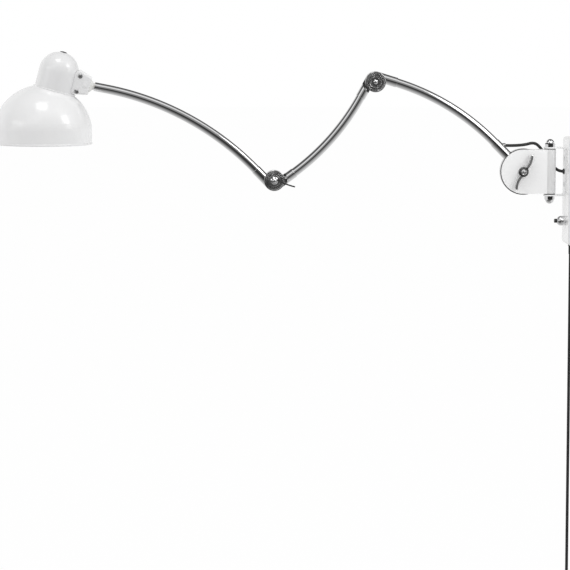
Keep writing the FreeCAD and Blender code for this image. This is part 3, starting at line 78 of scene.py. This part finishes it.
# the lead's points, in millimetres from the tilt axis
LEAD_UPPER = [(-38.5, 0.0, 56.4), (-21.0, 1.0, 56.0), (4.5, 3.8, 57.5), (24.5, 9.4, 62.6),
              (39.0, 16.5, 53.0), (48.75, 18.75, 39.0)]
LEAD_LOWER = [(48.75, 18.75, 39.0), (58.5, 21.0, 25.0), (70.0, 13.5, 8.0), (80.0, 0.0, 0.0),
              (90.5, 0.0, 0.0)]
LEAD_ROOT = Vector((-0.004, 0, 0))  # how much further it starts inside the arm's foot

# ---- the looks' own numbers ---------------------------------------------------------

MAINS_STEPS, LEAD_STEPS = 3, 6      # of a flex's line between two of its points
FLEX_ROUNDNESS = 5
RINGS = 7                           # turned rings on an elbow's face
RING_START = 0.0112                 # the first one's radius
RING_PITCH = 0.0011
RING_THICKNESS = 0.00022
RING_SIDES, RING_SECTION_SIDES = 96, 8
BAND_PITCH = 0.0058                 # of the lighter and darker bands under the rings
EDGE_SOFT = 0.0006                  # over which a turned face gives way to plating
PAINTED_DARK_REFLECTION = (0.12, 0.12, 0.12, 1)       # a painted dark reflection round the wing nut's cap
PAINTED_REFLECTION_SOFT = 0.0008                 # the width of the painted reflection's soft edges
COAT = {"Coat_Weight": 0.35, "Coat_Roughness": 0.08}
PAINTED_SHADE_STEP = 0.001                   # over which the enamel's painted light gives way to its painted shade
CLOUD, CLOUD_BLUE = 0.02, 0.015     # how much darker enamel goes in its duller patches
BRUSHED = (40, 40, 1)               # a grain 40 times finer across Z than along it
WHITE = (1, 1, 1, 1)

FRAME_PIXELS = 570
FOCAL_PIXELS = 2900
SENSOR = 36.0
CLIP_END = 100
CAMERA_AT = Vector((-0.94904, -6.2512, 0.44913))
YAW, PITCH, ROLL = 0.04820, 0.10400, 0.00183

FLOOR_Z = -1.10
FLOOR_REACH = 30.0
FLOOR_TONE = 0.86
FLOOR_SHADING = 0.03                # the share of its shading that the camera sees

# each soft box: what it shines at, the way to it, its distance, width, height and watts
LAMPS = {"soft_box_above": (DOME, (-0.02, -0.33, 0.94), 3.0, 1.1, 1.1, 17),
         "soft_box_right": (DOME, (0.76, -0.385, 0.524), 3.2, 0.9, 0.9, 12),
         "soft_box_left": (DOME, (-0.82, -0.42, 0.40), 3.2, 1.7, 0.5, 4.5),
         "soft_box_knuckle": (KNUCKLE, (0.39, -0.79, 0.48), 0.8, 0.4, 0.4, 1.1)}
FILL_BELOW, FILL_ABOVE = 0.28, 0.92      # straight down and straight up
FILL_SIDES, FILL_FRONT = 0.46, -0.26     # added along X, and towards the camera
SHINE_LEAN = -29                         # degrees that the shine's bands lean, by X
# what polished metal sees, by the angle over the horizon in front, in degrees
SHINE = [(-180, 0.85), (-150, 0.80), (-120, 0.70), (-97, 0.64), (-63, 0.44), (-40, 0.27),
         (-24, 0.12), (-10, 0.03), (0, 0.06), (10, 0.28), (20, 0.35), (34, 0.44), (41, 1.0),
         (57, 1.0), (65, 0.45), (82, 0.28), (98, 0.14), (112, 0.06), (135, 0.04),
         (158, 0.60), (179, 0.85)]


# ---- camera -------------------------------------------------------------------------

def add_camera():
    lens = bpy.data.cameras.new("camera")
    lens.sensor_width = SENSOR
    lens.lens = FOCAL_PIXELS / FRAME_PIXELS * SENSOR
    lens.clip_end = CLIP_END
    camera = bpy.data.objects.new("camera", lens)
    ahead = Vector((math.sin(YAW) * math.cos(PITCH), math.cos(YAW) * math.cos(PITCH),
                    -math.sin(PITCH)))
    right = Vector((math.cos(YAW), -math.sin(YAW), 0))
    up = right.cross(ahead)
    turned_right = right * math.cos(ROLL) + up * math.sin(ROLL)
    turned_up = up * math.cos(ROLL) - right * math.sin(ROLL)
    turn = Matrix((turned_right, turned_up, -ahead)).transposed()
    camera.matrix_world = Matrix.Translation(CAMERA_AT) @ turn.to_4x4()
    scene.collection.objects.link(camera)
    scene.camera = camera


# ---- nodes --------------------------------------------------------------------------

def grey(tone):
    return (tone, tone, tone)


class Graph:
    """A node tree, with short ways to add nodes and to feed them."""

    def __init__(self, tree):
        self.tree = tree

    def put(self, node, socket, value):
        """Set a socket, or link it when the value is another node's output."""
        if isinstance(value, bpy.types.NodeSocket):
            self.tree.links.new(value, node.inputs[socket])
        else:
            node.inputs[socket].default_value = value

    def add(self, kind, inputs=None, **settings):
        """A new node with its settings made and its inputs fed."""
        node = self.tree.nodes.new(kind)
        for key, value in settings.items():
            setattr(node, key, value)
        for socket, value in (inputs or {}).items():
            self.put(node, socket, value)
        return node

    def maths(self, operation, *values):
        return self.add("ShaderNodeMath", dict(enumerate(values)),
                        operation=operation).outputs[0]

    def either(self, factor, first, second):
        """The first shader where factor is 0, the second where it is 1."""
        values = dict(enumerate((factor, first, second)))
        return self.add("ShaderNodeMixShader", values).outputs[0]


class Finish(Graph):
    """A node material built around one Principled shader."""

    def __init__(self, name, colour, roughness, metallic=0.0, **settings):
        self.material = bpy.data.materials.new(name)
        self.material.use_nodes = True
        super().__init__(self.material.node_tree)
        self.shader = self.tree.nodes["Principled BSDF"]
        self.colour((*colour, 1.0))
        self.rough(roughness)
        self.put(self.shader, "Metallic", metallic)
        for socket, value in settings.items():
            self.put(self.shader, socket.replace("_", " "), value)
        self.place = self.add("ShaderNodeTexCoord").outputs["Object"]

    def colour(self, value):
        self.put(self.shader, "Base Color", value)

    def rough(self, value):
        self.put(self.shader, "Roughness", value)

    def bump(self, height, strength, distance=0.0002):
        node = self.add("ShaderNodeBump", {"Height": height, "Strength": strength,
                                           "Distance": distance})
        self.put(self.shader, "Normal", node.outputs["Normal"])

    def stretched(self, scale, centre=(0, 0, 0)):
        """The piece's own coordinates about a centre, times a scale along each axis."""
        shift = self.add("ShaderNodeVectorMath", {0: self.place, 1: tuple(centre)},
                         operation="SUBTRACT")
        return self.add("ShaderNodeMapping",
                        {"Vector": shift.outputs[0], "Scale": scale}).outputs[0]

    def from_axis(self, centre):
        """The distance from the line along Y through centre."""
        across = self.stretched((1, 0, 1), centre)
        return self.add("ShaderNodeVectorMath", {0: across},
                        operation="LENGTH").outputs["Value"]

    def noise(self, scale, detail, place=None):
        """Noise between 0 and 1, with about scale patches to the metre."""
        if place is None:
            place = self.place
        node = self.add("ShaderNodeTexNoise", {"Vector": place, "Scale": scale,
                                               "Detail": detail})
        return node.outputs["Fac"]

    def between(self, factor, low, high, start=0.0, end=1.0):
        """A number that runs from low to high as factor runs from start to end."""
        node = self.add("ShaderNodeMapRange", {"Value": factor, "From Min": start,
                                               "From Max": end, "To Min": low,
                                               "To Max": high})
        return node.outputs["Result"]

    def product(self, first, second):
        return self.maths("MULTIPLY", first, second)

    def wave(self, value, length):
        """A wave between 0 and 1 that repeats each length of value."""
        swing = self.maths("SINE", self.product(value, 2 * math.pi / length))
        return self.between(swing, 0.0, 1.0, start=-1.0, end=1.0)

    def tint(self, factor, dark, light, low=0.3, high=0.7):
        """A ramp from the dark colour, where factor is low, to the light one."""
        node = self.add("ShaderNodeValToRGB", {"Fac": factor})
        ramp = node.color_ramp.elements
        for element, position, colour in zip(ramp, (low, high), (dark, light)):
            element.position = position
            element.color = (*colour, 1)
        return node.outputs["Color"]

    def mixed(self, factor, first, second):
        """The first colour where factor is 0, the second where it is 1."""
        node = self.add("ShaderNodeMixRGB", {"Fac": factor, "Color1": first,
                                             "Color2": second})
        return node.outputs["Color"]


# ---- materials ----------------------------------------------------------------------

def sprayed(name, tone):
    """Gloss enamel before its colour: a clear coat, an uneven gloss and an orange peel."""
    f = Finish(name, grey(tone), 0.2, **COAT)
    f.rough(f.between(f.noise(60.0, 3.0), 0.16, 0.26))
    f.bump(f.noise(420.0, 2.0), 0.04, 0.0006)
    return f


def white_enamel(name, tone=0.86):
    f = sprayed(name, tone)
    dull = (tone - CLOUD, tone - CLOUD, tone - CLOUD_BLUE)
    f.colour(f.tint(f.noise(14.0, 4.0), dull, grey(tone)))
    return f.material


def enamel_with_painted_light_and_shade(name, front, painted_shade_tone, edge_x):
    """Enamel with a clearer white before edge_x than past it: painted light before, painted
    shade past it.
    """
    f = sprayed(name, front)
    apart = f.add("ShaderNodeSeparateXYZ", {0: f.place})
    in_painted_shade = f.between(apart.outputs["X"], 0.0, 1.0, edge_x, edge_x + PAINTED_SHADE_STEP)
    cloud = f.noise(14.0, 4.0)
    # a lit and a shaded copy of one enamel: painted light and painted shade
    lit_and_shaded_tones = [f.tint(cloud, grey(tone - CLOUD), grey(tone)) for tone in (front, painted_shade_tone)]
    f.colour(f.mixed(in_painted_shade, *lit_and_shaded_tones))
    return f.material


def chrome(name, tone=0.80, roughness=0.06):
    """Polished plating: faint clouds and fine rub marks in the shine."""
    bright = (tone, tone, tone * 1.01)
    f = Finish(name, bright, roughness, 1.0)
    rub = f.noise(900.0, 2.0)
    haze = f.noise(26.0, 4.0)
    f.rough(f.between(f.product(rub, haze), roughness * 0.6, roughness * 2.4))
    f.colour(f.tint(haze, grey(tone * 0.94), bright))
    f.bump(rub, 0.015)
    return f.material


def turned_metal(name, centre, reach, tone=0.80, turned=0.72):
    """Plating, with a face turned on a lathe about the Y axis through centre, to reach."""
    f = Finish(name, grey(tone), 0.08, 1.0)
    away = f.from_axis(centre)
    on_face = f.between(away, 1.0, 0.0, reach - EDGE_SOFT, reach)
    uneven = f.noise(240.0, 3.0)
    plated = f.tint(uneven, grey(tone * 0.94), grey(tone))
    face = f.tint(f.wave(away, BAND_PITCH), grey(turned * 0.75), grey(turned * 1.25),
                  0.0, 1.0)
    f.colour(f.mixed(on_face, plated, face))
    f.rough(f.product(f.between(uneven, 0.8, 1.3), f.between(on_face, 0.07, 0.13)))
    f.bump(f.product(f.wave(away, RING_PITCH), on_face), 0.05, 0.0001)
    return f.material


def cast_nickel(name, centre, ring, tone=0.72):
    """Satin plating on a casting, with a painted dark reflection in a ring about the Y axis
    through centre.
    """
    f = Finish(name, grey(tone), 0.3, 1.0)
    away = f.from_axis(centre)
    start, end = ring
    stain_and_painted_reflection = f.product(f.between(away, 0.0, 1.0, start, start + PAINTED_REFLECTION_SOFT),
                      f.between(away, 1.0, 0.0, end - PAINTED_REFLECTION_SOFT, end))
    grain = f.noise(500.0, 3.0)
    f.colour(f.mixed(stain_and_painted_reflection, f.tint(grain, grey(tone * 0.85), grey(tone)), PAINTED_DARK_REFLECTION))
    f.rough(f.between(grain, 0.26, 0.42))
    f.bump(grain, 0.06)
    return f.material


def brushed_steel(name, tone=0.55):
    f = Finish(name, grey(tone), 0.3, 1.0)
    grain = f.noise(500.0, 3.0, f.stretched(BRUSHED))
    f.colour(f.tint(grain, grey(tone * 0.88), grey(tone * 1.06)))
    f.rough(f.between(grain, 0.22, 0.42))
    f.bump(grain, 0.06)
    return f.material


def brass(name):
    f = Finish(name, (0.72, 0.50, 0.20), 0.25, 1.0)
    stain_and_painted_reflection = f.noise(120.0, 4.0)
    f.colour(f.tint(stain_and_painted_reflection, (0.60, 0.40, 0.15), (0.76, 0.55, 0.24)))
    f.rough(f.between(stain_and_painted_reflection, 0.2, 0.4))
    f.bump(f.noise(900.0, 2.0), 0.05)
    return f.material


def rubber(name, tone=0.014, roughness=0.5):
    """Black flex or a moulded black piece, with a fine grain and dusty variation."""
    f = Finish(name, grey(tone), roughness)
    f.colour(f.tint(f.noise(90.0, 4.0), grey(tone * 0.8), grey(tone * 1.6), high=0.75))
    f.rough(f.between(f.noise(300.0, 2.0), roughness - 0.08, roughness + 0.1))
    f.bump(f.noise(1600.0, 2.0), 0.03)
    return f.material


def moulded(name, colour, roughness=0.35):
    """Moulded plastic with a slight grain."""
    f = Finish(name, colour, roughness)
    cloud = f.noise(40.0, 3.0)
    f.colour(f.tint(cloud, tuple(c * 0.96 for c in colour), colour))
    f.rough(f.between(cloud, roughness - 0.06, roughness + 0.08))
    f.bump(f.noise(1200.0, 2.0), 0.05)
    return f.material


def opal_glass(name):
    """A bulb's frosted white glass."""
    f = Finish(name, (0.93, 0.93, 0.91), 0.3, Transmission_Weight=0.35, IOR=1.45)
    cloud = f.noise(70.0, 3.0)
    f.colour(f.tint(cloud, (0.90, 0.90, 0.88), (0.95, 0.95, 0.93)))
    f.rough(f.between(cloud, 0.26, 0.36))
    return f.material


def dress(material, *names):
    """Give CAD nodes one material."""
    for name in names:
        materials = nodes[name].data.materials
        materials.clear()
        materials.append(material)


# ---- pieces -------------------------------------------------------------------------

def flex_piece(name, points, steps, material):
    """A round flex on one smooth NURBS line with those control points."""
    data = bpy.data.curves.new(name, "CURVE")
    data.dimensions = "3D"
    data.resolution_u = steps
    data.bevel_depth = FLEX_R
    data.bevel_resolution = FLEX_ROUNDNESS
    data.use_fill_caps = True
    line = data.splines.new("NURBS")
    line.points.add(len(points) - 1)
    for point, place in zip(line.points, points):
        point.co = (*place, 1.0)
    line.order_u = 3
    line.use_endpoint_u = True
    piece = bpy.data.objects.new(name, data)
    piece.data.materials.append(material)
    scene.collection.objects.link(piece)
    return piece


def as_mesh(piece):
    """The evaluated piece as a plain, smooth mesh object of the same name."""
    bpy.context.view_layer.update()
    name = piece.name
    evaluated = piece.evaluated_get(bpy.context.evaluated_depsgraph_get())
    mesh = bpy.data.meshes.new_from_object(evaluated)
    bpy.data.objects.remove(piece)
    solid = bpy.data.objects.new(name, mesh)
    scene.collection.objects.link(solid)
    for face in mesh.polygons:
        face.use_smooth = True
    return solid


def mains_route():
    """Straight down from the gland, round the put-away coil and down to the plug."""
    route = [Vector((CORD_X, 0, z)) for z in (GLAND_TIP_Z, *HANGING_Z)]
    # the line cuts its points' corners, so the coil's points stand further out
    spread = 1 / (0.75 + 0.25 * math.cos(2 * math.pi / COIL_STEPS))
    last = 2 * COIL_TURNS * COIL_STEPS
    for k in range(last + 1):
        turns = k / COIL_STEPS
        radius = COIL_OUTER_R - COIL_PITCH * min(turns, 2 * COIL_TURNS - turns)
        if 0 < k < last:
            radius *= spread
        climb = min(max((turns - COIL_TURNS) / LAYER_CHANGE + 0.5, 0), 1)
        climb = climb * climb * (3 - 2 * climb)
        angle = 2 * math.pi * turns
        route.append(COIL_CENTRE + Vector((-COIL_LAYER * climb, -radius * math.cos(angle),
                                           -radius * math.sin(angle))))
    end = route[-1]
    return route + [end - Vector((0, 0, run)) for run in PLUG_RUN]


def mains_cord(material):
    cord = flex_piece("mains_flex", mains_route(), MAINS_STEPS, material)
    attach(cord, "wall_box")
    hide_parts("mains_cord", "mains_cord_coil")


def leads(material):
    """The two lengths of lead past the knuckle."""
    upper, lower = [[KNUCKLE + Vector(point) / 1000 for point in route]
                    for route in (LEAD_UPPER, LEAD_LOWER)]
    upper.insert(0, upper[0] + LEAD_ROOT)
    for name, route, node, start, end in (
            ("lead_above_knuckle", upper, "lead_upper", "inner_arm", "knuckle"),
            ("lead_behind_barrel", lower, "lead_lower", "knuckle", "wall_box")):
        lead = as_mesh(flex_piece(name, route, LEAD_STEPS, material))
        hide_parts(node)
        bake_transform(lead)


def turned_rings_tree():
    """Fine raised rings about the Y axis through a centre, as a lathe leaves them."""
    tree = bpy.data.node_groups.new("turned_rings", "GeometryNodeTree")
    tree.interface.new_socket("Geometry", in_out="OUTPUT", socket_type="NodeSocketGeometry")
    for name, kind in (("Rings", "Int"), ("First radius", "Float"), ("Pitch", "Float"),
                       ("Thickness", "Float"), ("Centre", "Vector"),
                       ("Finish", "Material")):
        tree.interface.new_socket(name, in_out="INPUT", socket_type="NodeSocket" + kind)
    graph = Graph(tree)

    def node(kind, inputs=None, **settings):
        return graph.add("GeometryNode" + kind, inputs, **settings).outputs[0]

    given = graph.add("NodeGroupInput").outputs
    places = node("MeshLine", {"Count": given["Rings"], "Offset": (0, 0, 0)})
    radius = graph.maths("MULTIPLY_ADD", node("InputIndex"), given["Pitch"],
                         given["First radius"])
    unit = node("CurvePrimitiveCircle", {"Resolution": RING_SIDES, "Radius": 1.0})
    rings = node("InstanceOnPoints", {"Points": places, "Instance": unit, "Scale": radius})
    rings = node("RealizeInstances", {"Geometry": rings})
    section = node("CurvePrimitiveCircle", {"Resolution": RING_SECTION_SIDES,
                                            "Radius": given["Thickness"]})
    rings = node("CurveToMesh", {"Curve": rings, "Profile Curve": section})
    rings = node("Transform", {"Geometry": rings, "Translation": given["Centre"],
                               "Rotation": (math.pi / 2, 0, 0)})
    rings = node("SetMaterial", {"Geometry": rings, "Material": given["Finish"]})
    graph.add("NodeGroupOutput", {0: rings})
    return tree


def turned_rings(tree, name, body, centre, material):
    """The rings on one elbow end's dished face, as a plain mesh that rides on its body."""
    piece = bpy.data.objects.new(name, bpy.data.meshes.new(name))
    scene.collection.objects.link(piece)
    modifier = piece.modifiers.new("rings", "NODES")
    modifier.node_group = tree
    sizes = {"Rings": RINGS, "First radius": RING_START, "Pitch": RING_PITCH,
             "Thickness": RING_THICKNESS, "Centre": centre, "Finish": material}
    for socket in tree.interface.items_tree:
        if socket.in_out == "INPUT":
            modifier[socket.identifier] = sizes[socket.name]
    piece = as_mesh(piece)
    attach(piece, body)


def elbow(rings, letter, pivot, near, far, near_body):
    """One elbow's two turned ends, each with its rings."""
    finish = turned_metal("turned_ends_" + letter, pivot, ELBOW_DISC_R)
    dress(finish, near, far)
    for side, body, y in (("near", near_body, -DISH_FACE_Y),
                          ("far", "middle_arm", DISH_FACE_Y)):
        turned_rings(rings, "elbow_%s_%s_rings" % (letter, side), body,
                     pivot + Vector((0, y, 0)), finish)


# ---- stage --------------------------------------------------------------------------

def floor_material(name, tone, shading):
    """A pale surface, nearly white to the camera, with a share of its shading kept."""
    f = Finish(name, grey(tone), 0.8)
    path = f.add("ShaderNodeLightPath")
    share = f.maths("MULTIPLY", path.outputs["Is Camera Ray"], 1 - shading)
    light = f.add("ShaderNodeEmission")
    f.put(f.tree.nodes["Material Output"], "Surface",
          f.either(share, f.shader.outputs[0], light.outputs[0]))
    return f.material


def add_floor():
    """A wide floor below the plug, which polished metal doesn't mirror."""
    far = FLOOR_REACH
    corners = [(-far, -far, FLOOR_Z), (far, -far, FLOOR_Z), (far, far, FLOOR_Z),
               (-far, far, FLOOR_Z)]
    mesh = bpy.data.meshes.new("floor")
    mesh.from_pydata(corners, [], [(0, 1, 2, 3)])
    mesh.materials.append(floor_material("floor_white", FLOOR_TONE, FLOOR_SHADING))
    plane = bpy.data.objects.new("floor", mesh)
    scene.collection.objects.link(plane)
    plane.visible_glossy = False


def add_lamp(name, target, way, distance, width, height, watts):
    """A soft box that shines at target from the direction way."""
    light = bpy.data.lights.new(name, "AREA")
    light.shape = "RECTANGLE"
    light.size = width
    light.size_y = height
    light.energy = watts
    lamp = bpy.data.objects.new(name, light)
    way = Vector(way).normalized()
    lamp.location = Vector(target) + way * distance
    lamp.rotation_euler = way.to_track_quat("Z", "Y").to_euler()
    scene.collection.objects.link(lamp)


class Surroundings(Graph):
    """The world's nodes: a soft fill, the bands that metal shows, and a white background."""

    def light(self, colour, strength=1.0):
        return self.add("ShaderNodeBackground",
                        {"Color": colour, "Strength": strength}).outputs[0]

    def fill(self, x, y, z):
        slope = (FILL_ABOVE - FILL_BELOW) / 2
        level = self.maths("MULTIPLY_ADD", z, slope, (FILL_ABOVE + FILL_BELOW) / 2)
        level = self.maths("MULTIPLY_ADD", self.maths("MULTIPLY", x, x), FILL_SIDES, level)
        ahead = self.maths("MAXIMUM", self.maths("MULTIPLY", y, -1.0), 0.0)
        return self.light(WHITE, self.maths("MULTIPLY_ADD", ahead, FILL_FRONT, level))

    def shine(self, x, y, z):
        angle = self.maths("ARCTAN2", z, self.maths("MULTIPLY", y, -1.0))
        angle = self.maths("MULTIPLY_ADD", x, math.radians(SHINE_LEAN), angle)
        along = self.maths("MULTIPLY_ADD", angle, 0.5 / math.pi, 0.5)   # 0 at -180 degrees
        ramp = self.add("ShaderNodeValToRGB", {"Fac": along})
        ramp.color_ramp.interpolation = "EASE"
        elements = ramp.color_ramp.elements
        while len(elements) < len(SHINE):
            elements.new(0.5)
        for element, (degrees, tone) in zip(elements, SHINE):
            element.position = (degrees + 180) / 360
            element.color = (*grey(tone), 1)
        return self.light(ramp.outputs["Color"])


def add_world():
    world = bpy.data.worlds.new("studio")
    world.use_nodes = True
    world.node_tree.nodes.clear()
    sky = Surroundings(world.node_tree)
    place = sky.add("ShaderNodeTexCoord")
    x, y, z = sky.add("ShaderNodeSeparateXYZ", {0: place.outputs["Generated"]}).outputs
    path = sky.add("ShaderNodeLightPath").outputs
    seen = sky.maths("MAXIMUM", path["Is Camera Ray"], path["Is Transmission Ray"])
    lit = sky.either(path["Is Glossy Ray"], sky.fill(x, y, z), sky.shine(x, y, z))
    background = sky.light(WHITE)
    sky.add("ShaderNodeOutputWorld", {"Surface": sky.either(seen, lit, background)})
    scene.world = world


# ---- put together -------------------------------------------------------------------

add_camera()
flex_black = rubber("black_flex_skin")
mains_cord(flex_black)
leads(flex_black)

dress(white_enamel("gloss_white_enamel"), "clamp_near_half", "clamp_far_half", "shade_dome")
# the neck's darker copy of the white enamel is painted shade
dress(white_enamel("neck_enamel_painted_shade", tone=0.82), "neck_housing")
# the strap's lighter copy of the white enamel is painted light
dress(white_enamel("strap_enamel_painted_light", tone=0.92), "hinge_strap")
# the cheeks' lighter white is painted light; the barrel past BARREL_X is darker, painted
# shade
dress(enamel_with_painted_light_and_shade("knuckle_enamel", front=0.93, painted_shade_tone=0.76, edge_x=BARREL_X),
      "knuckle_fork")
# the box's lighter front is painted light; its darker sides are painted shade
dress(enamel_with_painted_light_and_shade("box_enamel", front=0.97, painted_shade_tone=0.76, edge_x=BOX_FRONT_X),
      "wall_housing")
# the dark ring round the wing nut's cap is a painted reflection
dress(cast_nickel("wing_nut_nickel", KNUCKLE, WING_RING), "knuckle_wing_nut")
dress(chrome("chrome_plating"), "inner_tube", "middle_tube", "outer_tube", "acorn_nuts",
      "switch_collar", "elbow_a_bolt", "elbow_b_bolt", "elbow_a_lever", "elbow_b_lever",
      "knuckle_bolt", "housing_screws")
rings = turned_rings_tree()
elbow(rings, "a", ELBOW_A, "inner_elbow_end", "middle_upper_end", "inner_arm")
elbow(rings, "b", ELBOW_B, "outer_elbow_end", "middle_lower_end", "outer_arm")
dress(turned_metal("turned_drum", KNUCKLE, DRUM_R), "inner_drum")
dress(brushed_steel("brushed_steel"), "wall_plate", "strap_screws", "pivot_pin",
      "clamp_screws", "fixing_screws", "neck_screws")
dress(brass("brass"), "plug_pins", "ball_bush", "bulb_cap")
dress(rubber("black_moulding", tone=0.02, roughness=0.38), "crown_button", "lead_grommet",
      "switch_body", "switch_button", "cord_gland", "cord_tie", "plug_body",
      "barrel_bushes", "lead_clip", "knuckle_friction_washers", "elbow_a_washer",
      "elbow_b_washer")
dress(flex_black, "box_flex", "inner_flex", "middle_flex", "outer_flex", "head_flex",
      "mains_cord", "mains_cord_coil", "lead_upper", "lead_lower")
dress(moulded("white_moulding", (0.82, 0.82, 0.80)), "joint_ball", "ball_liner",
      "lampholder", "holder_ring")
dress(moulded("cream_moulding", (0.74, 0.70, 0.60), roughness=0.45), "terminal_block")
dress(opal_glass("opal_glass"), "bulb_glass")

add_floor()
for name, settings in LAMPS.items():
    add_lamp(name, *settings)
add_world()
scene.view_settings.view_transform = "Standard"
